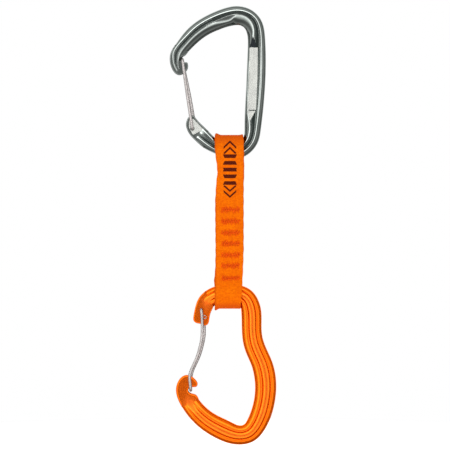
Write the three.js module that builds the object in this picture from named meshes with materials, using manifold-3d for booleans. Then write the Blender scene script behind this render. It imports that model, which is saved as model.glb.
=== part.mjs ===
// A climbing quickdraw: two wiregate carabiners joined by a short sewn sling.
//
// Millimetres, +Z up. It hangs from the inside of the upper carabiner's top bend, which is the
// origin. The carabiners lie flat in the XZ plane, gates on the -X side, and +Y runs through them.

import * as THREE from 'three';
import { mergeVertices } from 'three/addons/utils/BufferGeometryUtils.js';
import Module from 'manifold-3d';

const wasm = await Module();
wasm.setup();

// ---------------------------------------------------------------- driving dimensions

const GAP = 0.35; // running clearance between separate pieces

// Carabiner bodies: thickness is measured along Y.
const BASKET_THICK = 9.0;
const SPINE_THICK = 7.6;
const END_THICK = 6.0; // nose and pivot plate, which the wire straddles
const GROOVE_DEPTH = 1.1;
const BODY_STATIONS = 46;

// Wire gates.
const WIRE_R = 1.05;
const WIRE_SIDES = 8;
const LEG_Y = END_THICK / 2 + GAP + WIRE_R; // how far each leg stands from the mid-plane
const TIP_Y = 1.9; // how near the mid-plane a wire tip reaches in its hole
const HOLE_R = 1.55;
const HOLE_SIDES = 12;

// Sling webbing.
const SLING_X = -5.1; // centre of the sling's width
const SLING_WIDTH = 20.4;
const WEB_THICK = 1.5;
const LAYER_GAP = 0.3;
const LAYER_Y = WEB_THICK + LAYER_GAP; // mid-plane of the front and back layers
const SLING_SPLIT_Z = -147.3; // where the webbing twists, between two bartacks
const SPLIT_GAP = 0.6;
const TAIL_TOP_Z = -122;
const SEWN_END_Z = -176.4;

// Sling loops: roomy round the upper bar and open below, tight round the lower bar and open above.
const UPPER_LOOP = { z: -86.8, r: 10.25, from: 50, to: 310, minX: -15.0, maxX: 3.6, segments: 20 };
const LOWER_LOOP = { z: -186.3, r: 8.75, from: -165, to: 165, minX: -15.2, maxX: 1.9, segments: 22 };
const LEG_TOP_Z = -94.4;
const LEG_TOP_Y = 9.75;

// Bartacks.
const TACK_Z = [-127.4, -135.4, -143.3, -150.8, -158.8, -165.9, -174.7];
const TACK_X = -4.4;
const TACK_WIDTH = 12.5;
const TACK_HEIGHT = 3.0;
const TACK_THICK = 0.4;
const THREAD_SPACING = 8;
const THREAD_SIZE = 0.8;
const THREAD_HOLE = 1.5;

// Upper body outline, from the nose over the top, down the spine and round the sling basket.
// Each rib is [outer x, outer z, inner x, inner z].
const UPPER_RIBS = [
  [-45.5, -18.6, -36.7, -21.5],
  [-42.4, -13.5, -33.6, -18.4],
  [-36.6, -5.5, -28.3, -13.1],
  [-27.6, 2.6, -21.0, -7.4],
  [-16.6, 8.6, -13.5, -3.7],
  [-6.2, 12.3, -5.2, -0.9],
  [0.7, 13.1, 0.3, 0.0],
  [8.6, 11.2, 3.6, -0.8],
  [14.8, 6.3, 5.9, -3.1],
  [18.1, 0.0, 7.1, -6.6],
  [19.5, -10.3, 7.5, -12.4],
  [19.9, -25.5, 7.0, -25.5],
  [19.3, -43.5, 6.3, -42.8],
  [17.9, -60.0, 5.5, -58.6],
  [16.5, -71.8, 5.2, -69.7],
  [14.4, -81.1, 4.7, -76.9],
  [9.3, -88.0, 1.9, -81.0],
  [2.4, -91.9, -1.9, -83.0],
  [-6.2, -92.4, -6.4, -83.3],
  [-14.8, -88.9, -12.1, -81.0],
  [-22.8, -84.9, -17.6, -75.4],
  [-29.0, -79.5, -22.9, -70.2],
];
const UPPER_PLATE = [
  [-22.8, -84.9], [-29.0, -79.5], [-33.5, -74.2], [-35.2, -68.7], [-34.5, -65.5],
  [-33.3, -63.5], [-30.7, -62.4], [-27.6, -65.4], [-22.9, -70.2], [-19.6, -73.4],
];
const UPPER_NOSE = [
  [-42.4, -13.5], [-45.5, -18.6], [-46.4, -22.8], [-46.1, -26.6], [-44.7, -30.7],
  [-42.1, -33.8], [-39.3, -34.6], [-36.2, -33.1], [-34.2, -30.7], [-33.7, -27.9],
  [-34.5, -25.9], [-37.6, -25.7], [-39.3, -23.9], [-38.2, -22.2], [-36.2, -21.4],
  [-33.6, -18.4],
];

// Lower body outline, from the pivot plate over the top bar, down the spine and round the basket.
const LOWER_RIBS = [
  [-28.4, -193.2, -17.0, -196.0],
  [-25.9, -187.7, -16.3, -194.3],
  [-21.7, -183.5, -14.5, -193.0],
  [-15.5, -180.4, -11.7, -192.3],
  [-8.3, -179.0, -7.6, -192.1],
  [-0.7, -179.0, -2.8, -192.1],
  [5.9, -180.7, 0.1, -192.6],
  [11.0, -184.1, 2.2, -194.3],
  [14.8, -190.1, 2.9, -197.3],
  [16.8, -198.0, 3.2, -202.9],
  [16.9, -207.0, 3.3, -209.1],
  [17.7, -216.0, 4.0, -218.0],
  [20.7, -224.2, 6.3, -226.3],
  [24.1, -231.8, 9.7, -234.1],
  [26.4, -240.5, 11.7, -241.5],
  [27.1, -249.8, 12.5, -249.4],
  [26.2, -259.4, 11.7, -258.8],
  [23.6, -269.8, 9.2, -267.7],
  [19.0, -279.4, 6.4, -273.7],
  [12.1, -286.9, 3.8, -276.1],
  [2.8, -289.5, 0.3, -276.0],
  [-6.2, -288.4, -3.1, -274.4],
  [-15.9, -284.3, -9.0, -271.6],
  [-24.8, -278.6, -16.2, -267.9],
  [-32.4, -271.3, -22.4, -262.9],
  [-37.9, -263.6, -26.4, -258.3],
  [-40.8, -257.9, -28.6, -255.0],
];
const LOWER_PLATE = [
  [-21.7, -183.5], [-25.9, -187.7], [-28.4, -193.2], [-29.8, -199.4], [-29.9, -203.9],
  [-27.9, -205.6], [-25.2, -206.2], [-22.4, -207.3], [-20.0, -206.2], [-19.1, -202.9],
  [-18.2, -198.7], [-17.0, -196.0], [-16.3, -194.3],
];
const LOWER_NOSE = [
  [-37.9, -263.6], [-40.8, -257.9], [-42.1, -251.8], [-41.3, -247.4], [-39.0, -243.6],
  [-35.9, -241.7], [-32.4, -241.9], [-29.3, -244.1], [-27.2, -247.2], [-28.0, -249.4],
  [-31.6, -249.9], [-33.6, -251.8], [-32.0, -253.9], [-28.3, -255.2], [-26.4, -258.3],
];

// Gate wires, from the front hole to the bend that rests in the nose, as [x, z].
const UPPER_WIRE = [[-30.8, -71.6], [-31.4, -67.5], [-34.3, -48], [-37.6, -24.0]];
const UPPER_REAR_HOLE = [-29.7, -66.6];
const LOWER_WIRE = [
  [-24.6, -196.3], [-24.2, -200.5], [-24.1, -213.9], [-25.2, -220.8], [-27.6, -229.1],
  [-31.0, -236.7], [-32.6, -242.2], [-31.9, -251.8],
];
const LOWER_REAR_HOLE = [-22.4, -201.4];
const REAR_CUT = 3.6; // the rear leg stops this far above its own tip

// Flat panel on the upper spine.
const PANEL = { x: 10.5, top: -16, bottom: -58.6, width: 6.0, depth: 0.7, lean: 2.0 };

// ---------------------------------------------------------------- materials

const metal = (color, roughness) => new THREE.MeshStandardMaterial({ color, roughness, metalness: 1 });
const GREY_METAL = metal(0x6f7a74, 0.3);
const ORANGE_METAL = metal(0xe8690c, 0.32);
const WIRE_STEEL = metal(0xbdb6ae, 0.25);
const WEBBING = new THREE.MeshStandardMaterial({ color: 0xff7800, roughness: 0.85, metalness: 0 });
const THREAD = new THREE.MeshStandardMaterial({ color: 0xeb5005, roughness: 0.8, metalness: 0 });

// ---------------------------------------------------------------- solids

function solidOf(geometry) {
  const bare = geometry.index ? geometry.toNonIndexed() : geometry.clone();
  bare.deleteAttribute('normal');
  bare.deleteAttribute('uv');
  const merged = mergeVertices(bare, 1e-4);
  return new wasm.Manifold(new wasm.Mesh({
    numProp: 3,
    vertProperties: new Float32Array(merged.attributes.position.array),
    triVerts: new Uint32Array(merged.index.array),
  }));
}

function geometryOf(solid) {
  const mesh = solid.getMesh();
  const geometry = new THREE.BufferGeometry();
  geometry.setAttribute('position', new THREE.BufferAttribute(mesh.vertProperties, 3));
  geometry.setIndex(new THREE.BufferAttribute(mesh.triVerts, 1));
  geometry.computeVertexNormals();
  return geometry;
}

function boxSolid(width, depth, height, x, y, z) {
  const geometry = new THREE.BoxGeometry(width, depth, height);
  geometry.translate(x, y, z);
  return solidOf(geometry);
}

// A round bar along Y from y0 to y1, centred on [x, z].
function barSolid(radius, sides, [x, z], y0, y1) {
  const geometry = new THREE.CylinderGeometry(radius, radius, y1 - y0, sides);
  geometry.translate(x, (y0 + y1) / 2, z);
  return solidOf(geometry);
}

const smooth = (t) => {
  const s = Math.min(Math.max(t, 0), 1);
  return s * s * (3 - 2 * s);
};

// ---------------------------------------------------------------- carabiner bodies

// Section of a bar from its outer edge (a = 0) to its inner edge (a = width), as [a, y] points:
// round edges, with a shallow groove down the middle of each face.
function barSection(width, thick, groove) {
  const half = thick / 2;
  const edge = Math.min(half * 0.9, width * 0.3);
  const lip = (width - 2 * edge) * 0.25;
  const front = [
    [edge * 0.29, -half * 0.71],
    [edge, -half],
    [edge + lip, -half + groove],
    [width - edge - lip, -half + groove],
    [width - edge, -half],
    [width - edge * 0.29, -half * 0.71],
  ];
  const back = front.map(([a, y]) => [a, -y]).reverse();
  return [[0, 0], ...front, [width, 0], ...back];
}

// Lofts the section along pairs of outer and inner points.
function bodySolid(ribs, thickAt, grooveAt) {
  const curve = (points) => new THREE.CatmullRomCurve3(points, false, 'centripetal');
  const outer = curve(ribs.map(([x, z]) => new THREE.Vector3(x, 0, z)));
  const inner = curve(ribs.map(([, , x, z]) => new THREE.Vector3(x, 0, z)));
  const positions = [];
  let ring = [];
  for (let i = 0; i <= BODY_STATIONS; i += 1) {
    const t = i / BODY_STATIONS;
    const from = outer.getPoint(t);
    const to = inner.getPoint(t);
    const width = from.distanceTo(to);
    const across = to.clone().sub(from).normalize();
    ring = barSection(width, thickAt(t), grooveAt(t));
    for (const [a, y] of ring) {
      positions.push(from.x + across.x * a, y, from.z + across.z * a);
    }
  }
  const count = ring.length;
  const index = [];
  for (let i = 0; i < BODY_STATIONS; i += 1) {
    for (let j = 0; j < count; j += 1) {
      const a = i * count + j;
      const b = i * count + ((j + 1) % count);
      index.push(a, b, a + count, b, b + count, a + count);
    }
  }
  const last = BODY_STATIONS * count;
  const cap = THREE.ShapeUtils.triangulateShape(ring.map(([a, y]) => new THREE.Vector2(a, y)), []);
  for (const [a, b, c] of cap) {
    index.push(a, c, b, last + a, last + b, last + c);
  }
  const geometry = new THREE.BufferGeometry();
  geometry.setAttribute('position', new THREE.Float32BufferAttribute(positions, 3));
  geometry.setIndex(index);
  let solid = solidOf(geometry);
  if (solid.volume() < 0) {
    geometry.setIndex(index.reverse());
    solid = solidOf(geometry);
  }
  return solid;
}

// A flat plate of END_THICK with the given [x, z] outline and softened edges.
function plateSolid(outline) {
  const bevel = 0.8;
  const shape = new THREE.Shape(outline.map(([x, z]) => new THREE.Vector2(x, z)));
  const geometry = new THREE.ExtrudeGeometry(shape, {
    depth: END_THICK - 2 * bevel,
    bevelThickness: bevel,
    bevelSize: bevel,
    bevelOffset: -bevel,
    bevelSegments: 1,
    steps: 1,
  });
  geometry.translate(0, 0, bevel - END_THICK / 2);
  geometry.rotateX(Math.PI / 2); // the outline's second axis becomes +Z
  return solidOf(geometry);
}

function pivotHole([x, z], side) {
  const inside = side * (TIP_Y - GAP - 0.1);
  const outside = side * BASKET_THICK;
  return barSolid(HOLE_R, HOLE_SIDES, [x, z], Math.min(inside, outside), Math.max(inside, outside));
}

function panelPocket() {
  const height = PANEL.top - PANEL.bottom;
  const floor = -SPINE_THICK / 2 + GROOVE_DEPTH + PANEL.depth;
  const geometry = new THREE.BoxGeometry(PANEL.width, SPINE_THICK, height);
  geometry.rotateY(THREE.MathUtils.degToRad(PANEL.lean));
  geometry.translate(PANEL.x, floor - SPINE_THICK / 2, (PANEL.top + PANEL.bottom) / 2);
  return solidOf(geometry);
}

// Thickness along the upper body: thin nose, slimmer spine, full sling basket, thin pivot end.
function upperThick(t) {
  const fromNose = END_THICK + (BASKET_THICK - END_THICK) * smooth(t / 0.18);
  const spine = smooth((t - 0.36) / 0.1) * smooth((0.74 - t) / 0.08);
  const pivot = smooth((t - 0.9) / 0.08);
  const full = fromNose + (SPINE_THICK - fromNose) * spine;
  return full + (END_THICK - 0.2 - full) * pivot;
}

// Thickness along the lower body: thin pivot end, top bar, spine, full rope basket, thin nose.
function lowerThick(t) {
  const fromPivot = END_THICK - 0.2 + (BASKET_THICK - END_THICK) * smooth((t - 0.05) / 0.1);
  const spine = smooth((t - 0.3) / 0.1) * smooth((0.66 - t) / 0.1);
  const nose = smooth((t - 0.86) / 0.12);
  const full = fromPivot + (SPINE_THICK - fromPivot) * spine;
  return full + (END_THICK - 0.2 - full) * nose;
}

const grooveBetween = (start, end) => (t) => (
  GROOVE_DEPTH * smooth((t - start) / 0.05) * smooth((end - t) / 0.05)
);

function upperBody() {
  return bodySolid(UPPER_RIBS, upperThick, grooveBetween(0.03, 0.9))
    .add(plateSolid(UPPER_PLATE))
    .add(plateSolid(UPPER_NOSE))
    .subtract(panelPocket())
    .subtract(pivotHole(UPPER_WIRE[0], -1))
    .subtract(pivotHole(UPPER_REAR_HOLE, 1));
}

function lowerBody() {
  return bodySolid(LOWER_RIBS, lowerThick, grooveBetween(0.12, 0.95))
    .add(plateSolid(LOWER_PLATE))
    .add(plateSolid(LOWER_NOSE))
    .subtract(pivotHole(LOWER_WIRE[0], -1))
    .subtract(pivotHole(LOWER_REAR_HOLE, 1));
}

// ---------------------------------------------------------------- wire gates

function wireGeometry(points, steps) {
  const path = new THREE.CatmullRomCurve3(points, false, 'centripetal');
  const circle = new THREE.Shape();
  for (let i = 0; i < WIRE_SIDES; i += 1) {
    const angle = (2 * Math.PI * i) / WIRE_SIDES;
    const x = WIRE_R * Math.cos(angle);
    const y = WIRE_R * Math.sin(angle);
    if (i === 0) circle.moveTo(x, y);
    else circle.lineTo(x, y);
  }
  return new THREE.ExtrudeGeometry(circle, { steps, extrudePath: path, bevelEnabled: false });
}

// The gate: in at the front hole, along the front leg, round the nose bend and back down the rear
// leg, which stops short of its own tip.
function gateGeometry(wire, rearHole) {
  const at = ([x, z], y) => new THREE.Vector3(x, y, z);
  const [hole, knee] = wire;
  const end = wire[wire.length - 1];
  const before = wire[wire.length - 2];
  const run = new THREE.Vector2(end[0] - before[0], end[1] - before[1]).normalize();
  const back = (distance) => [end[0] - run.x * distance, end[1] - run.y * distance];
  const middle = wire.slice(2, -1);
  const up = Math.sign(end[1] - hole[1]);
  const cut = [rearHole[0] + (middle[0][0] - rearHole[0]) * 0.1, rearHole[1] + up * REAR_CUT];
  const points = [
    at(hole, -TIP_Y),
    at(hole, -LEG_Y + 0.7),
    at([hole[0] + (knee[0] - hole[0]) * 0.25, hole[1] + (knee[1] - hole[1]) * 0.25], -LEG_Y),
    at(knee, -LEG_Y),
    ...middle.map((p) => at(p, -LEG_Y)),
    at(back(3.2), -LEG_Y),
    at(back(0.7), -LEG_Y + 0.7),
    at(end, -LEG_Y + 2.4),
    at(end, LEG_Y - 2.4),
    at(back(0.7), LEG_Y - 0.7),
    at(back(3.2), LEG_Y),
    ...middle.reverse().map((p) => at(p, LEG_Y)),
    at(cut, LEG_Y),
  ];
  return wireGeometry(points, 52);
}

// The rear leg's last stretch and its tip, which stays in the rear hole.
function rearPinGeometry([x, z], up) {
  return wireGeometry([
    new THREE.Vector3(x, LEG_Y, z + up * (REAR_CUT - 2 * GAP - WIRE_R)),
    new THREE.Vector3(x, LEG_Y, z + up * 0.9),
    new THREE.Vector3(x, LEG_Y - 0.7, z + up * 0.1),
    new THREE.Vector3(x, TIP_Y, z),
  ], 8);
}

// ---------------------------------------------------------------- sling

// Webbing of WEB_THICK along a centre path of [y, z] points, between two x values.
function webGeometry(path, minX, maxX) {
  const points = path.map(([y, z]) => new THREE.Vector2(y, z));
  const side = (sign) => points.map((point, i) => {
    const ahead = points[Math.min(i + 1, points.length - 1)];
    const behind = points[Math.max(i - 1, 0)];
    const along = ahead.clone().sub(behind).normalize();
    const out = new THREE.Vector2(along.y, -along.x).multiplyScalar((sign * WEB_THICK) / 2);
    return point.clone().add(out);
  });
  const shape = new THREE.Shape([...side(1), ...side(-1).reverse()]);
  const geometry = new THREE.ExtrudeGeometry(shape, { depth: maxX - minX, bevelEnabled: false, steps: 1 });
  geometry.applyMatrix4(new THREE.Matrix4().set(
    0, 0, 1, minX,
    1, 0, 0, 0,
    0, 1, 0, 0,
    0, 0, 0, 1,
  ));
  return geometry;
}

// A loop round a bar, between two angles in degrees measured from straight down.
function loopGeometry({ z, r, from, to, minX, maxX, segments }) {
  const path = [];
  for (let i = 0; i <= segments; i += 1) {
    const angle = THREE.MathUtils.degToRad(from + ((to - from) * i) / segments);
    path.push([-r * Math.sin(angle), z - r * Math.cos(angle)]);
  }
  return webGeometry(path, minX, maxX);
}

const SLING_MIN_X = SLING_X - SLING_WIDTH / 2;
const SLING_MAX_X = SLING_X + SLING_WIDTH / 2;

// Two thread holes through a layer at each bartack between its ends.
function sewnLayer(path, top, bottom) {
  let solid = solidOf(webGeometry(path, SLING_MIN_X, SLING_MAX_X));
  for (const z of TACK_Z.filter((value) => value < top && value > bottom)) {
    for (const side of [-0.5, 0.5]) {
      const x = TACK_X + side * THREAD_SPACING;
      solid = solid.subtract(boxSolid(THREAD_HOLE, 4 * WEB_THICK, THREAD_HOLE, x, path.at(-1)[0], z));
    }
  }
  return geometryOf(solid);
}

// The upper half's front or back layer, which spreads towards the loop as it rises.
function spreadingLayer(side) {
  const steps = 12;
  const path = [];
  for (let i = 0; i <= steps; i += 1) {
    const s = i / steps;
    const y = LAYER_Y + (LEG_TOP_Y - LAYER_Y) * (0.5 + 0.5 * Math.cos(Math.PI * s));
    path.push([side * y, LEG_TOP_Z + (TAIL_TOP_Z - LEG_TOP_Z) * s]);
  }
  const bottom = SLING_SPLIT_Z + SPLIT_GAP / 2;
  path.push([side * LAYER_Y, bottom]);
  return sewnLayer(path, LEG_TOP_Z, bottom);
}

function straightLayer(y, top, bottom) {
  return sewnLayer([[y, top], [y, bottom]], top, bottom);
}

// A bartack: a bar of stitches on each face, and the thread between them.
function bartackGeometry(z) {
  const face = LAYER_Y + WEB_THICK / 2 + LAYER_GAP + TACK_THICK / 2;
  let solid = boxSolid(TACK_WIDTH, TACK_THICK, TACK_HEIGHT, TACK_X, -face, z);
  solid = solid.add(boxSolid(TACK_WIDTH, TACK_THICK, TACK_HEIGHT, TACK_X, face, z));
  for (const side of [-0.5, 0.5]) {
    const x = TACK_X + side * THREAD_SPACING;
    solid = solid.add(boxSolid(THREAD_SIZE, 2 * face, THREAD_SIZE, x, 0, z));
  }
  return geometryOf(solid);
}

// ---------------------------------------------------------------- assembly

const quickdraw = new THREE.Group();

function place(name, geometry, material) {
  const mesh = new THREE.Mesh(geometry, material);
  mesh.name = name;
  quickdraw.add(mesh);
}

place('upper_carabiner_body', geometryOf(upperBody()), GREY_METAL);
place('upper_gate_wire', gateGeometry(UPPER_WIRE, UPPER_REAR_HOLE), WIRE_STEEL);
place('upper_gate_rear_tip', rearPinGeometry(UPPER_REAR_HOLE, 1), WIRE_STEEL);

place('lower_carabiner_body', geometryOf(lowerBody()), ORANGE_METAL);
place('lower_gate_wire', gateGeometry(LOWER_WIRE, LOWER_REAR_HOLE), WIRE_STEEL);
place('lower_gate_rear_tip', rearPinGeometry(LOWER_REAR_HOLE, -1), WIRE_STEEL);

const splitTop = SLING_SPLIT_Z + SPLIT_GAP / 2;
const splitBottom = SLING_SPLIT_Z - SPLIT_GAP / 2;
place('sling_upper_loop', loopGeometry(UPPER_LOOP), WEBBING);
place('sling_upper_front_layer', spreadingLayer(-1), WEBBING);
place('sling_upper_lapped_end', straightLayer(0, TAIL_TOP_Z, splitTop), WEBBING);
place('sling_upper_back_layer', spreadingLayer(1), WEBBING);
place('sling_lower_front_layer', straightLayer(-LAYER_Y, splitBottom, SEWN_END_Z), WEBBING);
place('sling_lower_lapped_end', straightLayer(0, splitBottom, SEWN_END_Z), WEBBING);
place('sling_lower_back_layer', straightLayer(LAYER_Y, splitBottom, SEWN_END_Z), WEBBING);
place('sling_lower_loop', loopGeometry(LOWER_LOOP), WEBBING);

TACK_Z.forEach((z, i) => place(`bartack_${i + 1}`, bartackGeometry(z), THREAD));

export default quickdraw;
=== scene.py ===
# A climbing quickdraw: two wiregate carabiners joined by a short sewn sling.
#
# Shapes are worked out in millimetres and become metres as each mesh is made. +Z is up along the
# hanging quickdraw, +Y runs through the carabiners and the gates are on the -X side.

import math

import bpy
import numpy as np
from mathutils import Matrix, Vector
from mathutils.kdtree import KDTree

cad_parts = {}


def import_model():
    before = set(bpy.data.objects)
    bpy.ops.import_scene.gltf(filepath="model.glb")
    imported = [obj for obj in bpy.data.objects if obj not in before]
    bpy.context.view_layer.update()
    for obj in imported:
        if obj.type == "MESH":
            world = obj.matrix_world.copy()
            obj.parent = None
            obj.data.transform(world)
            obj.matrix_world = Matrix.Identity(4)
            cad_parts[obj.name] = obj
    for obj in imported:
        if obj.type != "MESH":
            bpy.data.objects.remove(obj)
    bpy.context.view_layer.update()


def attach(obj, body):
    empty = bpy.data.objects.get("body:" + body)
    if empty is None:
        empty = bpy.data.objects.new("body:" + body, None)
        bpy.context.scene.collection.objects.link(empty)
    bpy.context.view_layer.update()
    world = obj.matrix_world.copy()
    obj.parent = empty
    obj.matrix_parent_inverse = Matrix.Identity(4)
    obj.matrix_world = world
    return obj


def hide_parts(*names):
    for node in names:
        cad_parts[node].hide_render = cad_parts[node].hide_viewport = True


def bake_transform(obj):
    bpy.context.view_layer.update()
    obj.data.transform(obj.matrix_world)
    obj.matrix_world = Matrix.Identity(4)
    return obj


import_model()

MM = 0.001
SPLINE_SAMPLES = 60  # for each point of a curve, before it is resampled

# -------------------- carabiner dimensions

BASKET_THICK = 9.0
END_THICK = 6.0
UPPER_NOSE_THICK = 4.9
BAR_STEP = 0.55  # between stations along a bar
BAR_SMOOTHING = 1.8
BODY_CORNER = 32  # degrees past which an edge is shaded sharp

# Each rib of a bar is [outer x, outer z, inner x, inner z].
UPPER_RIBS = [
    [-42.3, -33.2, -38.9, -29.4], [-44.4, -30.2, -39.1, -27.6], [-45.7, -26.6, -38.9, -25.3],
    [-46.1, -22.8, -38.1, -23.2], [-45.5, -18.6, -36.7, -21.5], [-42.4, -13.5, -33.6, -18.4],
    [-36.6, -5.5, -28.3, -13.1], [-27.6, 2.6, -21.0, -7.4], [-16.6, 8.6, -13.5, -3.7],
    [-6.2, 12.3, -5.2, -0.9], [0.7, 13.1, 0.3, 0.0], [8.6, 11.2, 3.6, -0.8],
    [14.8, 6.3, 5.9, -3.1], [18.1, 0.0, 7.1, -6.6], [19.5, -10.3, 7.5, -12.4],
    [19.9, -25.5, 7.0, -25.5], [19.3, -43.5, 6.3, -42.8], [17.9, -60.0, 5.5, -58.6],
    [16.5, -71.8, 5.2, -69.7], [14.4, -81.1, 4.7, -76.9], [9.3, -88.0, 1.9, -81.0],
    [2.4, -91.9, -1.9, -83.0], [-6.2, -92.4, -6.4, -83.3], [-14.8, -88.9, -12.1, -81.0],
    [-22.8, -84.9, -17.6, -75.4], [-26.6, -81.8, -20.7, -72.4], [-29.0, -79.5, -22.9, -70.2],
]

# Outlines of the flat ends, as [x, z]. They start and stop inside the bar.
UPPER_PLATE = [
    [-22.8, -84.9], [-29.0, -79.5], [-33.5, -74.2], [-35.2, -68.7], [-34.5, -65.5],
    [-33.3, -63.5], [-30.7, -62.4], [-27.6, -65.4], [-22.9, -70.2], [-19.6, -73.4],
]
UPPER_NOSE = [
    [-42.4, -13.5], [-45.5, -18.6], [-46.4, -22.8], [-46.1, -26.6], [-44.7, -30.7],
    [-42.1, -33.8], [-39.3, -34.6], [-36.2, -33.1], [-34.2, -30.7], [-33.7, -27.9],
    [-34.5, -25.9], [-37.6, -25.7], [-39.3, -23.9], [-38.2, -22.2], [-36.2, -21.4],
    [-33.6, -18.4],
]
LOWER_RIBS = [
    [-28.4, -193.2, -17.0, -196.0], [-25.9, -187.7, -16.3, -194.3],
    [-21.7, -183.5, -14.5, -193.0], [-15.5, -180.4, -11.7, -192.3],
    [-8.3, -179.0, -7.6, -192.1], [-0.7, -179.0, -2.8, -192.1], [5.9, -180.7, 0.1, -192.6],
    [11.0, -184.1, 2.2, -194.3], [14.8, -190.1, 2.9, -197.3], [16.8, -198.0, 3.2, -202.9],
    [16.9, -207.0, 3.3, -209.1], [17.7, -216.0, 4.0, -218.0], [20.7, -224.2, 6.3, -226.3],
    [24.1, -231.8, 9.7, -234.1], [26.4, -240.5, 11.7, -241.5], [27.1, -249.8, 12.5, -249.4],
    [26.2, -259.4, 11.7, -258.8], [23.6, -269.8, 9.2, -267.7], [19.0, -279.4, 6.4, -273.7],
    [12.1, -286.9, 3.8, -276.1], [2.8, -289.5, 0.3, -276.0], [-6.2, -288.4, -3.1, -274.4],
    [-15.9, -284.3, -9.0, -271.6], [-24.8, -278.6, -16.2, -267.9],
    [-32.4, -271.3, -22.4, -262.9], [-37.9, -263.6, -26.4, -258.3],
    [-40.8, -257.9, -28.6, -255.0],
]
LOWER_PLATE = [
    [-21.7, -183.5], [-25.9, -187.7], [-28.4, -193.2], [-29.8, -199.4], [-29.9, -203.9],
    [-27.9, -205.6], [-25.2, -206.2], [-22.4, -207.3], [-20.0, -206.2], [-19.1, -202.9],
    [-18.2, -198.7], [-17.0, -196.0], [-16.3, -194.3],
]
LOWER_NOSE = [
    [-37.9, -263.6], [-40.8, -257.9], [-42.1, -251.8], [-41.3, -247.4], [-39.0, -243.6],
    [-35.9, -241.7], [-32.4, -241.9], [-29.3, -244.1], [-27.2, -247.2], [-28.0, -249.4],
    [-31.6, -249.9], [-33.6, -251.8], [-32.0, -253.9], [-28.3, -255.2], [-26.4, -258.3],
]

# Section of the upper bar at each rib: [thickness, recess depth, outer crest, middle crest,
# inner crest, depth of the second recess]. The crests are shares of the width from the outer edge.
UPPER_FORM = [
    [6.2, 0.5, 0.36, 0.69, 0.72, 0], [6.4, 0.7, 0.36, 0.69, 0.72, 0],
    [6.6, 0.8, 0.3, 0.7, 0.73, 0], [6.8, 0.8, 0.27, 0.67, 0.7, 0],
    [7.0, 0.6, 0.2, 0.58, 0.61, 0], [7.6, 0.9, 0.19, 0.53, 0.56, 0],
    [8.6, 1.2, 0.27, 0.54, 0.57, 0], [9.0, 1.25, 0.26, 0.54, 0.57, 0],
    [9.0, 1.25, 0.26, 0.51, 0.58, 0.1], [9.0, 1.2, 0.26, 0.46, 0.7, 0.4],
    [9.0, 1.2, 0.26, 0.44, 0.47, 0], [9.0, 1.2, 0.25, 0.45, 0.48, 0],
    [8.6, 1.2, 0.23, 0.49, 0.52, 0], [8.0, 1.2, 0.25, 0.55, 0.58, 0],
    [7.6, 1.2, 0.26, 0.66, 0.69, 0], [7.6, 1.2, 0.26, 0.85, 0.88, 0],
    [7.6, 1.2, 0.26, 0.87, 0.9, 0], [7.6, 1.2, 0.275, 0.8, 0.83, 0],
    [8.2, 1.2, 0.3, 0.62, 0.65, 0], [9.0, 1.25, 0.33, 0.66, 0.69, 0],
    [9.0, 1.25, 0.35, 0.7, 0.73, 0], [9.0, 1.25, 0.34, 0.74, 0.77, 0],
    [9.0, 1.25, 0.32, 0.74, 0.77, 0], [9.0, 1.25, 0.31, 0.72, 0.76, 0],
    [9.0, 1.2, 0.32, 0.6, 0.78, 0.6], [8.4, 0.8, 0.3, 0.58, 0.8, 0.5],
    [6.1, 0.0, 0.24, 0.6, 0.82, 0],
]

# Section of the lower bar at each rib: [thickness, groove depth]. Two grooves part three bands.
LOWER_FORM = [
    [5.8, 0.0], [6.2, 0.0], [7.8, 0.8], [9.0, 0.95], [9.0, 0.95], [9.0, 0.95], [9.0, 0.95],
    [9.0, 0.95], [8.6, 0.95], [8.0, 0.95], [7.6, 0.9], [7.6, 0.9], [7.6, 0.9], [7.8, 0.9],
    [8.0, 0.9], [8.2, 0.95], [8.6, 0.95], [9.0, 0.95], [9.0, 0.95], [9.0, 0.95], [9.0, 0.95],
    [9.0, 0.95], [9.0, 0.95], [9.0, 0.95], [9.0, 0.9], [6.3, 0.0], [5.8, 0.0],
]
LOWER_GROOVES = [0.27, 0.64]  # shares of the width from the outer edge
LOWER_GROOVE_REACH = 0.95
LOWER_BULGE = [2.5, 2.1]  # powers that set how square and how full the section is

# How softly the flat ends' edges are rounded.
UPPER_BEVEL = 0.7
LOWER_PLATE_BEVEL = 0.8
LOWER_NOSE_BEVEL = 1.1
BEVEL_RUN = 3.0  # over which a bevel grows from nothing, where the plate leaves the bar
PLATE_STEP = 0.35

# Flats cut into the upper carabiner's front face, as [x, z] outlines.
PANEL_FLOOR = 2.0  # from the mid-plane
PIVOT_FLOOR = 2.75
PANEL_CORNER = 0.3
PIVOT_CORNER = 0.9
PANEL_OUTLINE = [
    [8.6, -15.8], [14.3, -15.8], [14.1, -37.0], [13.0, -58.6], [7.1, -58.6], [8.3, -37.0],
]
POINT_OUTLINE = [[7.0, -59.3], [12.7, -59.3], [8.8, -66.6]]
SHADED_OUTLINE = [[8.6, -15.6], [13.8, -15.6], [10.9, -8.0]]
PIVOT_FLAT = [
    [-33.1, -65.8], [-30.1, -64.7], [-23.4, -72.1], [-25.7, -73.6], [-30.4, -75.9],
    [-33.1, -70.9],
]

# -------------------- gate dimensions

WIRE_R = 1.05
WIRE_STEP = 0.45
WIRE_SIDES = 24
WIRE_CORNER = 0.7  # how far a bend in the wire cuts its corner
LEG_Y = 4.4
LEG_ASIDE = 1.45  # how far the rear leg stands beside the front one, near the pivot
NOSE_BEND = [3.2, 2.4]  # length and depth of the bend that joins the two legs
TIP_Y = 1.9
HOLE_R = 1.5
HOLE_PAST_TIP = 0.45
REAR_CUT = 3.6  # height above the rear hole where the leg starts to bend aside
BENDING_LENGTH = 15.0  # of the rear leg, above its hole

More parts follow.
